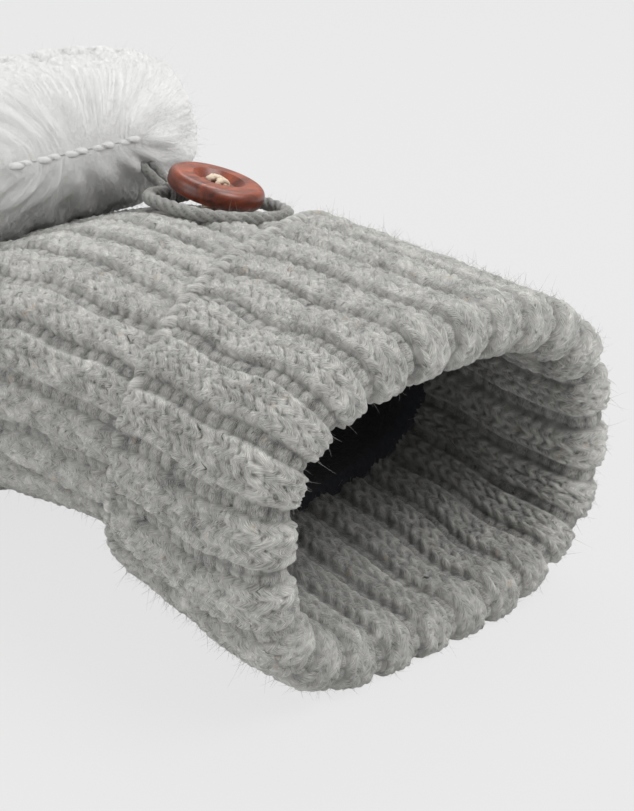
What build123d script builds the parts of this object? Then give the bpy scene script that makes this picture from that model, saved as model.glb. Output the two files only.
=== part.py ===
from build123d import *
import math
import os

# A right-hand convertible mitten lying palm down with its cuff turned back and
# its flip cap buttoned down on the back of the hand.  +X runs from the wrist to
# the fingers, +Y is the thumb side, +Z is up.  The build works from the mouth
# of the cuff (x = 0) and everything is shifted by mouth_x when it is written,
# which puts the origin on the flat that the cuff rests on.

# ---------------------------------------------------------------- sizes, mm
mouth_x = -8.0              # mouth of the cuff from the origin
squareness = 2.5            # superellipse exponent of the hand and cuff sections
rest_flat = 0.6             # how deep the table flats cut into the underside

rib_wall = 3.6              # knitted wall of the wrist and hand
cuff_wall = 3.9             # knitted wall of the turned-back layer
fold_gap = 0.5              # between the turned-back layer and the wrist
piece_gap = 0.3             # clearance between soft pieces that only lie together
rim_land = 0.8              # half-width of the flat crest of the rolled rim

cuff_fold = 54.4            # from the mouth to the cast-on edge, on the centre line
edge_skew = 23.0            # the cast-on edge runs askew across the hand, degrees
edge_lean = 10.0            # and leans back over its height, degrees
edge_centre_z = 36.6
edge_width = 4.4            # cast-on edge, along the hand
edge_proud = 1.0            # cast-on edge above the turned-back layer

wrist_split = 30.0          # where the wrist rib ends and the hand begins
web_start = 155.0           # where the web between the fingers begins
web_end = 158.0             # where the finger stubs begin

# hand stations: distance from the mouth, height of the centre, half width,
# half height of the outside of the knitted hand
hand_stations = [
    (0.0, 30.6, 39.6, 26.8),
    (13.0, 30.7, 39.5, 26.8),
    (28.0, 33.2, 39.4, 25.2),
    (54.0, 35.4, 40.2, 23.2),
    (75.0, 35.6, 43.6, 25.0),
    (90.0, 34.2, 46.0, 24.9),
    (108.0, 29.2, 47.4, 23.8),
    (126.0, 24.4, 47.2, 22.1),
    (143.0, 20.6, 45.6, 20.3),
    (158.0, 17.7, 43.6, 18.2),
]

lining_start = 36.0         # where the fleece lining begins
lining_wall = 2.0

stub_length = 21.0
stub_half_height = 12.0
stub_centre_z = 17.5
stub_wall = 2.8
stub_gap = 0.5
stub_widths = {"index": 20.0, "middle": 20.6, "ring": 19.6, "little": 16.6}
bind_off_length = 3.0
bind_off_proud = 0.7

thumb_root = (84.0, 18.0, 27.0)
thumb_tip = (146.0, 72.0, 21.0)
thumb_root_radius = 14.5
thumb_mid_radius = 14.6
thumb_tip_radius = 11.5
thumb_wall = 3.4
thumb_welt = 1.3

seam_width = 3.0
seam_proud = 0.9

cap_length = 60.5           # from the hinge line to the tip
cap_half_width = 48.0
cap_thickness = 36.0
cap_wall = 3.4
cap_squareness = 3.2
cap_curl = 2.0              # the tip curls up this much off the hand
cap_rise = 19.5             # slope of the folded-back cap, degrees
cap_lip = 32.0              # the palm edge of the mouth, from the hinge line
cap_band_width = 8.0
cap_band_proud = 0.6
hinge_x = 155.0
hinge_half_length = 34.0

button_x = 84.0
button_y = -19.0
button_radius = 10.0
button_thickness = 4.2
button_edge_round = 1.7
button_pitch = 10.0         # leans towards the wrist, degrees
button_roll = 13.0          # leans away from the thumb, degrees
recess_radius = 4.7
recess_depth = 1.5
hole_radius = 0.9
hole_spread = 2.9
thread_radius = 0.6
shank_height = 3.2
shank_radius = 1.8

loop_cord = 2.2
loop_side_gap = 1.7         # play between the loop and the button, each side
loop_far_gap = 2.6          # play at the wrist end
loop_root_gap = 1.6         # play at the cap end
loop_roll = 10.0            # the loop lies on the falling back of the hand
tack_length = 7.0
tack_wall = 0.9

# ------------------------------------------------------------- derived sizes
cuff_outer = fold_gap + cuff_wall
wall_stack = cuff_outer + rib_wall
rim_radius = wall_stack / 2
cuff_reach = 88.0           # past the furthest point of the askew edge
big = 400.0
SECTION_POINTS = 24


def superellipse(half_a, half_b, power):
    """Points of |u/a|^p + |v/b|^p = 1, evenly spaced in angle."""
    points = []
    for i in range(SECTION_POINTS):
        t = 2 * math.pi * i / SECTION_POINTS
        c = math.cos(t)
        s = math.sin(t)
        u = half_a * math.copysign(abs(c) ** (2 / power), c)
        v = half_b * math.copysign(abs(s) ** (2 / power), s)
        points.append((u, v))
    return points


def section(x, centre_y, centre_z, half_a, half_b, power):
    """Closed spline across the hand at distance x."""
    ring = superellipse(half_a, half_b, power)
    points = [Vector(x, centre_y + u, centre_z + v) for u, v in ring]
    return Wire([Edge.make_spline(points, periodic=True)])


def hand_at(x):
    """Centre height, half width and half height of the hand at x."""
    for low, high in zip(hand_stations, hand_stations[1:]):
        if x <= high[0]:
            break
    f = (x - low[0]) / (high[0] - low[0])
    return tuple(low[k] + f * (high[k] - low[k]) for k in (1, 2, 3))


def hand_solid(offset, start=hand_stations[0][0], stop=hand_stations[-1][0]):
    """Filled hand from start to stop, its surface moved out by offset."""
    between = [s[0] for s in hand_stations if start < s[0] < stop]
    wires = []
    for x in [start] + between + [stop]:
        cz, a, b = hand_at(x)
        wires.append(section(x, 0, cz, a + offset, b + offset, squareness))
    return Solid.make_loft(wires, ruled=True)


def hand_shell(outside, inside, start, stop):
    """Hollow length of the hand between two offsets of its surface."""
    return hand_solid(outside, start, stop) - hand_solid(inside, start - 1, stop + 1)


def slab(start, stop):
    """All space between two planes across X."""
    return Pos((start + stop) / 2, 0, 0) * Box(stop - start, big, big)


def edge_plane(shift):
    """Half space on the wrist side of the cast-on edge moved by shift."""
    frame = Plane(origin=(cuff_fold, 0, edge_centre_z)).location
    turn = Rotation(0, -edge_lean, 0) * Rotation(0, 0, edge_skew)
    return frame * turn * Pos(shift - big / 2, 0, 0) * Box(big, big, big)


def above_table(shape):
    """Trim away what would lie under the table."""
    return shape & (Pos(0, 0, big / 2) * Box(2 * big, big, big))


def one(shape):
    """The largest solid of a boolean result."""
    return max(shape.solids(), key=lambda s: s.volume)


hinge_seat, hinge_a, hinge_b = hand_at(hinge_x)
hinge_z = hinge_seat + hinge_b + piece_gap + cap_wall / 2
parts = {}

# ------------------------------------------------------- wrist, cuff and edge
outer = hand_solid(0)
under_cuff = hand_solid(fold_gap, rim_radius, cuff_reach + 1)

parts["wrist_rib"] = one(hand_shell(0, -rib_wall, rim_radius, wrist_split))


def rim_section(x, inset):
    cz, a, b = hand_at(x)
    grow = cuff_outer - inset
    return section(x, 0, cz, a + grow, b + grow, squareness)


roll_steps = (0.0, 30.0, 60.0, 90.0)
roll_outer = []
roll_inner = []
for angle in roll_steps:
    s = math.sin(math.radians(angle))
    c = math.cos(math.radians(angle))
    x = rim_radius * (1 - c)
    side = rim_land + (rim_radius - rim_land) * s
    roll_outer.append(rim_section(x, rim_radius - side))
    roll_inner.append(rim_section(x, rim_radius + side))
tail_x = [s[0] for s in hand_stations if rim_radius < s[0] < cuff_reach] + [cuff_reach]
rim_block = Solid.make_loft(roll_outer + [rim_section(x, 0) for x in tail_x], ruled=True)
rim_void = Solid.make_loft(roll_inner, ruled=True)
cuff_body = rim_block - rim_void - under_cuff
parts["turned_cuff"] = one(above_table(cuff_body & edge_plane(-edge_width / 2)))

edge_ring = hand_shell(cuff_outer + edge_proud, fold_gap, rim_radius + 1, cuff_reach)
edge_ring = edge_ring & edge_plane(edge_width / 2)
parts["cuff_edge"] = one(edge_ring - edge_plane(-edge_width / 2))

# ------------------------------------------------------------------- thumb


def thumb_solid(offset):
    """Filled thumb: a cone frustum chain closed with a ball."""
    root = Vector(*thumb_root)
    tip = Vector(*thumb_tip)
    along = (tip - root).normalized()
    length = (tip - root).length
    stops = (
        (0.0, thumb_root_radius + offset),
        (0.55 * length, thumb_mid_radius + offset),
        (length, thumb_tip_radius + offset),
    )
    wires = []
    for distance, radius in stops:
        at = Plane(origin=root + along * distance, z_dir=along, x_dir=(0, 0, 1))
        wires.append(Wire.make_circle(radius, at))
    ball = Pos(*thumb_tip) * Sphere(thumb_tip_radius + offset)
    return Solid.make_loft(wires) + ball


thumb_outer = thumb_solid(0)
thumb_void = thumb_solid(-thumb_wall)
thumb = thumb_outer - thumb_void - outer
parts["thumb_sheath"] = one(thumb)

welt = thumb_solid(thumb_welt) & hand_solid(thumb_welt)
parts["thumb_seam"] = one(welt - thumb_outer - outer)

# -------------------------------------------------------------- hand and lining
palm = above_table(hand_shell(0, -rib_wall, wrist_split, web_start))
parts["hand_shell"] = one(palm - thumb_void)

lining_skin = -rib_wall - piece_gap
lining = hand_shell(lining_skin, lining_skin - lining_wall, lining_start, web_start)
parts["hand_lining"] = one(lining - thumb_void)

ribbon_x = [wrist_split] + [s[0] for s in hand_stations if wrist_split < s[0] < web_start] + [web_start]
upper = [(x, hand_at(x)[0] + seam_width / 2) for x in ribbon_x]
lower = [(x, hand_at(x)[0] - seam_width / 2) for x in reversed(ribbon_x)]
ribbon_face = make_face(Polyline(*[(x, 0, z) for x, z in upper + lower], close=True))
ribbon = extrude(ribbon_face, amount=big, dir=(0, -1, 0))
seam = (hand_solid(seam_proud) - outer) & ribbon
seam = seam - edge_plane(edge_width / 2 + piece_gap)
parts["side_seam"] = one(seam)

# ----------------------------------------------------------------- finger stubs
total = sum(stub_widths.values()) + stub_gap * (len(stub_widths) - 1)
cursor = total / 2
web = above_table(hand_solid(0, web_start, web_end))
bind_offs = []
for finger, width in stub_widths.items():
    centre_y = cursor - width / 2
    cursor = cursor - width - stub_gap
    turn = Plane(origin=(web_start, centre_y, stub_centre_z), z_dir=(1, 0, 0), x_dir=(0, 1, 0))
    rim_a = width / 2
    rim_b = stub_half_height
    hole = extrude(turn * Ellipse(rim_a - stub_wall, rim_b - stub_wall), amount=big)
    skin = turn * Ellipse(rim_a, rim_b)
    web = web - hole
    reach = web_end - web_start
    stub = extrude(skin, amount=reach + stub_length - bind_off_length)
    stub = stub - slab(web_start - 1, web_end)
    parts["finger_stub_" + finger] = one(stub - hole)
    proud = min(bind_off_proud, stub_gap / 2 - 0.1)
    ring = extrude(turn * Ellipse(rim_a + proud, rim_b + bind_off_proud), amount=reach + stub_length)
    ring = ring - slab(web_start - 1, web_end + stub_length - bind_off_length)
    bind_offs.append(one(ring - hole))
parts["finger_web"] = one(web)
parts["stub_bind_offs"] = Compound(bind_offs)

# --------------------------------------------------------------------- flip cap
# Built along +X from the hinge line, dorsal panel down, then leaned on the hand.
# Stations: distance from the hinge line, share of the full width and thickness.
cap_stations = [
    (-6.0, 0.97, 0.97),
    (12.0, 1.0, 1.0),
    (28.0, 1.0, 1.0),
    (39.0, 0.98, 0.94),
    (47.5, 0.92, 0.82),
    (54.0, 0.82, 0.66),
    (58.5, 0.68, 0.48),
    (cap_length, 0.5, 0.31),
]


def cap_solid(offset):
    """Filled cap, its surface moved out by offset."""
    wires = []
    for x, wide, deep in cap_stations:
        half_b = cap_thickness / 2 * deep
        centre = half_b - cap_wall / 2 + cap_curl * (1 - deep)
        end = offset if x == cap_length else 0
        a = cap_half_width * wide + offset
        wires.append(section(x + end, 0, centre, a, half_b + offset, cap_squareness))
    return Solid.make_loft(wires, ruled=True)


lip_angle = math.degrees(math.atan2(cap_thickness, cap_lip))


def cap_mouth(shift):
    """Half space beyond the slanting mouth of the cap moved by shift."""
    turn = Rotation(0, -lip_angle, 0)
    return Pos(cap_wall / 2, 0, 0) * turn * Pos(0, 0, -big / 2 - shift) * Box(big, big, big)


cap_outer = cap_solid(0)
cap_void = cap_solid(-cap_wall)
cap_skin = cap_outer - cap_void
cap_skin = cap_skin & (Pos(cap_wall / 2 + big / 2, 0, 0) * Box(big, big, big))
band_skin = cap_solid(cap_band_proud) - cap_void
lean = Pos(hinge_x, 0, hinge_z) * Rotation(0, cap_rise, 0) * Rotation(0, 0, 180)
above_panel = Pos(0, 0, big / 2 + 2 * cap_wall) * Box(2 * big, big, big)

band = (band_skin & cap_mouth(0)) - cap_mouth(cap_band_width)
shell = (cap_skin & cap_mouth(cap_band_width)) + (cap_skin & cap_mouth(0) - above_panel)
parts["cap_band"] = lean * one(band & above_panel)
parts["cap_shell"] = lean * one(shell)

seam_rod = Pos(0, 0, 0) * Rotation(90, 0, 0) * Cylinder(cap_wall / 2, 2 * hinge_half_length)
parts["hinge_seam"] = lean * one(seam_rod)

# ---------------------------------------------------------------------- button
cz, a, b = hand_at(button_x)
drop = (1 - (abs(button_y) / a) ** squareness) ** (1 / squareness)
seat_z = cz + b * drop
button_lean = (
    Pos(button_x, button_y, seat_z)
    * Rotation(button_roll, 0, 0)
    * Rotation(0, -button_pitch, 0)
)
shank = Pos(0, 0, shank_height / 2) * Cylinder(shank_radius, shank_height)
parts["button_shank"] = one(button_lean * shank - hand_solid(piece_gap))

disc = Pos(0, 0, button_thickness / 2) * Cylinder(button_radius, button_thickness)
rims = disc.edges().filter_by(GeomType.CIRCLE)
disc = fillet(rims, min(button_edge_round, 0.45 * button_thickness))
dish_depth = min(recess_depth, button_thickness / 2)
dish = Pos(0, 0, button_thickness - dish_depth / 2) * Cone(
    recess_radius - dish_depth / 2, recess_radius + dish_depth / 2, dish_depth
)
disc = disc - dish
threads = None
for sx in (-1, 1):
    for sy in (-1, 1):
        spot = Pos(sx * hole_spread / 2, sy * hole_spread / 2, button_thickness / 2)
        disc = disc - spot * Cylinder(hole_radius, 2 * button_thickness)
        floor_z = button_thickness - dish_depth
        strand = Pos(spot.position.X, spot.position.Y, (floor_z + piece_gap) / 2)
        strand = strand * Cylinder(thread_radius, floor_z + piece_gap)
        threads = strand if threads is None else threads + strand
    bar = Pos(sx * hole_spread / 2, 0, floor_z + thread_radius + piece_gap / 2)
    threads = threads + bar * Box(2 * thread_radius, hole_spread + 2 * thread_radius, 2 * thread_radius)
knot = Pos(0, 0, floor_z + thread_radius + piece_gap / 2)
threads = threads + knot * Box(hole_spread, 2 * thread_radius, 2 * thread_radius)
lift = button_lean * Pos(0, 0, shank_height)
parts["button_disc"] = lift * one(disc)
parts["button_thread"] = lift * one(threads)

# ------------------------------------------------------------------ button loop
button_mid = button_lean * Pos(0, 0, shank_height + button_thickness / 2)
mid_x = button_mid.position.X
mid_y = button_mid.position.Y
far_x = mid_x - button_radius - loop_far_gap
root_x = mid_x + button_radius + loop_root_gap
inner_length = root_x - far_x
inner_width = 2 * (button_radius + loop_side_gap)
loop_z = seat_z + loop_cord / 2 + piece_gap
eye = RectangleRounded(inner_length, inner_width, inner_width * 0.42)
hem = RectangleRounded(
    inner_length + 2 * loop_cord, inner_width + 2 * loop_cord, inner_width * 0.42 + loop_cord
)
loop = Pos(0, 0, -loop_cord / 2) * extrude(hem - eye, amount=loop_cord)
loop = fillet(loop.edges(), 0.4 * loop_cord)
rolled = Pos((far_x + root_x) / 2, mid_y, loop_z) * Rotation(loop_roll, 0, 0)
parts["button_loop"] = one(rolled * loop)

root_bar = rolled * Pos(inner_length / 2 + loop_cord / 2, 0, 0) * Rotation(90, 0, 0)
sleeve = Cylinder(loop_cord / 2 + piece_gap + tack_wall, tack_length)
sleeve = sleeve - Cylinder(loop_cord / 2 + piece_gap, 2 * tack_length)
parts["loop_tack"] = one(root_bar * sleeve - lean * cap_solid(0))

# ----------------------------------------------------------------------- output
os.makedirs("parts", exist_ok=True)
shift = Pos(mouth_x, 0, 0)
for name, shape in parts.items():
    placed = shift * shape
    export_step(placed, "parts/" + name + ".step")

axis = root_bar.position
print("hinge at", hinge_x + mouth_x, 0, hinge_z)
print("loop root at", axis.X + mouth_x, axis.Y, axis.Z)
print("button seat at", button_x + mouth_x, button_y, seat_z)
print("button axis", (button_lean * Pos(0, 0, 1)).position - button_lean.position)
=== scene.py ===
# %% [markdown]
# # A convertible mitten, knitted stitch by stitch
# The CAD frame gives each part its place.  This file gives each part its
# look: ribs of chunky marled wool, a turned-back cuff, a pale brushed cap
# that folds back over the hand, and a wooden button that holds it.  Wool knit
# could be painted on with a bump map, but from close by the eye reads the
# stitches' own edges and shadows, so here the stitches are real relief.

# %% the frame
import bpy
import math
import numpy as np
from mathutils import Matrix, Vector


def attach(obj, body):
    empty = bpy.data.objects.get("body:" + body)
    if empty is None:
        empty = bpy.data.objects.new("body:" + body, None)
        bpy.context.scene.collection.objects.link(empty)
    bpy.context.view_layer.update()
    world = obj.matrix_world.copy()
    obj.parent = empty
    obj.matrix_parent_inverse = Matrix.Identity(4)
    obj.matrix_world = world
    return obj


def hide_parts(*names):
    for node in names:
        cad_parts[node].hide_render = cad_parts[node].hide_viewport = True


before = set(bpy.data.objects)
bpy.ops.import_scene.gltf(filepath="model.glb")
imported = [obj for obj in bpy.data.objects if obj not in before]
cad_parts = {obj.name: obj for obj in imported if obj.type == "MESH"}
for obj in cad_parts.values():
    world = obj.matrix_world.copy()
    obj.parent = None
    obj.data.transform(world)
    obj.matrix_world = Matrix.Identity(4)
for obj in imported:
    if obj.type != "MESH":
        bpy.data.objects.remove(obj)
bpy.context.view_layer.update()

# %% [markdown]
# ## Camera first
# The camera stands by the wrist on the thumb side and looks a little down, as
# one looks at a glove on a table.  A long lens keeps the cuff's mouth from
# looking stretched.  The place is given as a turn and a height round a point
# in the cuff, because those are easy to read and to change.

# %% camera
MM = 0.001
LENS_MM = 102.2082
TURN, LIFT, AWAY = math.radians(46.3), math.radians(22.89), 277.52
LOOK_AT = np.array([-8.0, 31.15, 56.09])
toward = np.array([
    -math.cos(LIFT) * math.sin(TURN),
    math.cos(LIFT) * math.cos(TURN),
    math.sin(LIFT),
])
eye = LOOK_AT + AWAY * toward
right = np.cross(-toward, [0.0, 0.0, 1.0])
right = right / np.linalg.norm(right)
up = np.cross(right, -toward)
lens = bpy.data.cameras.new("camera")
lens.sensor_fit = "HORIZONTAL"
lens.sensor_width = 36.0
lens.lens = LENS_MM
lens.clip_start = 0.01
camera = bpy.data.objects.new("camera", lens)
bpy.context.collection.objects.link(camera)
camera.matrix_world = Matrix(np.vstack([
    np.column_stack([right, up, toward, eye * MM]),
    [0.0, 0.0, 0.0, 1.0],
]).tolist())
bpy.context.scene.camera = camera
print("camera at", eye.round(1), "mm")

# %% [markdown]
# ## The shape under the knit
# A hand in a mitten is a flattened tube.  Its section is a superellipse,
# |y/a|^n + |z/b|^n = 1 with n = 2.5: rounder than a box, squarer than an
# ellipse, as wool over a hand is.  A table gives the half width a, the half
# height b and the height of the centre at a few distances x from the mouth,
# and a smoothed straight-line reading of it gives any x.

# %% the hand's surface
MOUTH = -8.0
SQUARE = 2.5
STATIONS = np.array([
    [-8.0, 30.6, 39.6, 26.8],
    [0.0, 30.6, 39.6, 26.8],
    [13.0, 30.7, 39.5, 26.8],
    [28.0, 33.2, 39.4, 25.2],
    [54.0, 35.4, 40.2, 23.2],
    [75.0, 35.6, 43.6, 25.0],
    [90.0, 34.2, 46.0, 24.9],
    [108.0, 29.2, 47.4, 23.8],
    [126.0, 24.4, 47.2, 22.1],
    [143.0, 20.6, 45.6, 20.3],
    [158.0, 17.7, 43.6, 18.2],
])
fine_x = np.arange(-8.0, 158.25, 0.25)
kernel = np.exp(-0.5 * (np.arange(-60, 61) / 20.0) ** 2)
kernel = kernel / kernel.sum()


def smoothed(column):
    """Straight-line table reading, averaged over about 5 mm with a bell curve."""
    values = np.interp(fine_x, STATIONS[:, 0], STATIONS[:, column])
    slope = (values[-1] - values[-41]) / 40
    tail = values[-1] + slope * np.arange(1, 61)
    head = np.full(60, values[0])
    return np.convolve(np.concatenate([head, values, tail]), kernel, "valid")


CENTRE, HALF_A, HALF_B = smoothed(1), smoothed(2), smoothed(3)


def spread_evenly(a, b, n):
    """Angle t(u) that walks the superellipse at constant speed, u from 0 to 1."""
    t = np.linspace(0, 2 * np.pi, 7201)
    c, s = np.cos(t), np.sin(t)
    y = a * np.sign(c) * np.abs(c) ** (2 / n)
    z = b * np.sign(s) * np.abs(s) ** (2 / n)
    walked = np.concatenate([[0], np.cumsum(np.hypot(np.diff(y), np.diff(z)))])
    return lambda u: np.interp(np.mod(u, 1.0) * walked[-1], walked, t)


around = spread_evenly(42.0, 24.5, SQUARE)


def squircle(t, a, b, n):
    """(y, z, ny, nz): point a*|cos|^(2/n), b*|sin|^(2/n) and its outward normal."""
    c, s = np.cos(t), np.sin(t)
    y = a * np.sign(c) * np.abs(c) ** (2 / n)
    z = b * np.sign(s) * np.abs(s) ** (2 / n)
    ny = np.sign(c) * np.abs(c) ** (2 - 2 / n) / a
    nz = np.sign(s) * np.abs(s) ** (2 - 2 / n) / b
    size = np.hypot(ny, nz)
    return y, z, ny / size, nz / size


def hand_point(x, u, offset=0.0):
    """Point and normal on the hand at distance x and share u round it."""
    cz = np.interp(x, fine_x, CENTRE)
    a = np.interp(x, fine_x, HALF_A) + offset
    b = np.interp(x, fine_x, HALF_B) + offset
    y, z, ny, nz = squircle(around(u), a, b, SQUARE)
    point = np.stack([x + 0 * y, y, cz + z], -1)
    return point, np.stack([0 * ny, ny, nz], -1)


print("perimeter at the cuff about", round(2 * math.pi * math.hypot(44, 31) / math.sqrt(2)), "mm")

# %% [markdown]
# ## Meshes from grids
# Every piece below is a grid of points, rows of v and columns of u, worked
# out as whole arrays.  One function turns such a grid into a mesh, joins its
# last column to its first, and can join its last row to its first too, so
# that the sheet has a back and encloses a real thickness.

# %% grid to mesh


def write_mesh(name, points, quads):
    """A linked object from points in mouth millimetres (x + MOUTH is the frame's x) and quads."""
    mesh = bpy.data.meshes.new(name)
    mesh.vertices.add(len(points))
    mesh.vertices.foreach_set("co", ((points + [MOUTH, 0.0, 0.0]) * MM).ravel())
    mesh.loops.add(quads.size)
    mesh.loops.foreach_set("vertex_index", quads.ravel().astype(np.int32))
    mesh.polygons.add(len(quads))
    mesh.polygons.foreach_set("loop_start", np.arange(0, quads.size, 4, dtype=np.int32))
    mesh.polygons.foreach_set("loop_total", np.full(len(quads), 4, dtype=np.int32))
    mesh.update()
    piece = bpy.data.objects.new(name, mesh)
    bpy.context.collection.objects.link(piece)
    print(name, len(quads) * 2, "triangles")
    return piece


def grid_mesh(name, points, ring_u=True, ring_v=False, uv=None, shade=None):
    """Mesh of quads over points[v, u] in millimetres, with UVs and a float layer of painted shade."""
    rows, cols = points.shape[:2]
    index = np.arange(rows * cols).reshape(rows, cols)
    if ring_v:
        index = np.vstack([index, index[:1]])
    if ring_u:
        index = np.hstack([index, index[:, :1]])
    quads = np.stack(
        [index[:-1, :-1], index[:-1, 1:], index[1:, 1:], index[1:, :-1]], -1
    ).reshape(-1, 4)
    piece = write_mesh(name, points.reshape(-1, 3), quads)
    mesh = piece.data
    mesh.polygons.foreach_set("use_smooth", np.ones(len(quads), dtype=bool))
    if uv is not None:
        layer = mesh.uv_layers.new(name="yarn")
        layer.data.foreach_set("uv", uv.reshape(-1, 2)[quads.ravel()].ravel())
    # the float layer depth is painted shade, multiplied into the colour by the material
    if shade is not None:
        depth = mesh.attributes.new("depth", "FLOAT", "POINT")
        depth.data.foreach_set("value", shade.ravel().astype(np.float32))
    mesh.validate()
    return piece


def place(piece, material, body, slot, *nodes):
    """Gives a finished piece its material and its body and hides the CAD nodes it replaces; slot is not used.
    """
    piece.data.materials.append(material)
    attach(piece, body)
    if nodes:
        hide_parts(*nodes)
    return piece


# %% [markdown]
# ## Stitches
# Knit fabric is columns of V's.  Each V is two legs of yarn, and each leg
# lies on the one before it, so a column reads as a plait.  A rib is two such
# columns side by side, standing up, and then a ditch where the fabric turns
# its back, which shows as small cross bars.  The height of the relief is a
# product of three simple curves: a half circle across each leg, a half circle
# across each strand of the plait, and a hump across the whole rib.

# %% relief of ribbed knit
ROW = 3.0
RIBS = 24
rng = np.random.default_rng(7)
WAVES = rng.uniform(-1, 1, (14, 5))


def drift(u, v, seed):
    """Smooth wandering value near -1..1: a sum of five long sine waves."""
    total = 0.0
    for k in range(5):
        a, b, c, d, e = WAVES[(seed + k) % 14]
        total = total + np.sin(2 * np.pi * (round(3 + 5 * a) * u + 0.02 * (1 + k) * b * v + c))
    return total / 3.0


def half_round(x, power=0.5):
    """(1 - x^2)^power, zero outside -1..1."""
    return np.clip(1 - x * x, 0, 1) ** power


def rib_relief(u, v, ribs=RIBS, pitch=11.0, share=0.74, depth=0.85, stitch=1.4, lean=0.85):
    """Height in mm, yarn coordinates and painted shade of 2-and-2 rib at share u and length v."""
    sway = 0.10 * drift(u, v, 2)
    r = u * ribs + sway
    f = r - np.floor(r)
    rib_number = np.floor(r)
    half = f / share * 2
    column = np.floor(half)
    x = (half - column - 0.5) * 2
    uneven = 0.35 * np.sin(7.1 * rib_number + 2.3 * column) + 0.22 * drift(u, v, 5)
    phase = v / ROW - lean * np.abs(x) + uneven
    within = phase - np.floor(phase)
    strand = half_round(2 * within - 1)
    legs = half_round((np.abs(x) - 0.5) / 0.58)
    plait = (0.10 + 0.90 * legs) * (0.20 + 0.80 * strand)
    hump = half_round(2 * np.clip(f / share, 0, 1) - 1, 0.5) ** 0.7
    raised = depth * hump + stitch * plait * np.clip(hump * 1.4, 0, 1)
    g = (f - share) / (1 - share)
    bars = v / ROW + 0.5 + uneven
    bar = half_round(2 * (bars - np.floor(bars)) - 1)
    ditch = 0.5 * stitch * bar * np.sin(np.pi * np.clip(g, 0, 1)) ** 0.5
    on_rib = f < share
    height = np.where(on_rib, raised, ditch) - 0.75 * depth
    height = height * (1 + 0.12 * drift(u, v, 8)) + 0.25 * drift(u, v, 11)
    yarn = np.stack([np.where(on_rib, phase, bars) * ROW, u * ribs * pitch], -1)
    # painted shade: darker in the gaps between strands and in the ditches, where shade falls
    shade = np.where(on_rib, np.clip(0.12 + 0.88 * plait, 0, 1), 0.16 + 0.30 * bar)
    return height, yarn, shade


# %% [markdown]
# ## Finishes
# Marled wool: light and dark grey fibres carded together and spun thick, so
# the yarn is streaked along its length, with dark neps and a few tan flecks,
# and its surface is a haze of loose fibre that gives a soft edge of light.

# %% colour and node helpers


def srgb(code, alpha=1.0):
    """#rrggbb to linear: c/12.92 below 0.04045, else ((c + 0.055)/1.055)^2.4."""
    c = np.array([int(code[i:i + 2], 16) for i in (1, 3, 5)]) / 255
    linear = np.where(c < 0.04045, c / 12.92, ((c + 0.055) / 1.055) ** 2.4)
    return (*linear.tolist(), alpha)


def add(tree, kind, settings=None, links=None):
    """Adds one node: settings by attribute or socket name, links by socket name."""
    made = tree.nodes.new(kind)
    for key, value in (settings or {}).items():
        if isinstance(key, str) and hasattr(made, key) and key not in made.inputs:
            setattr(made, key, value)
        else:
            made.inputs[key].default_value = value
    for key, source in (links or {}).items():
        tree.links.new(source, made.inputs[key])
    return made


def new_material(name):
    """An empty node material with its output."""
    material = bpy.data.materials.new(name)
    material.use_nodes = True
    tree = material.node_tree
    tree.nodes.clear()
    return material, tree, tree.nodes.new("ShaderNodeOutputMaterial")


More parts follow.
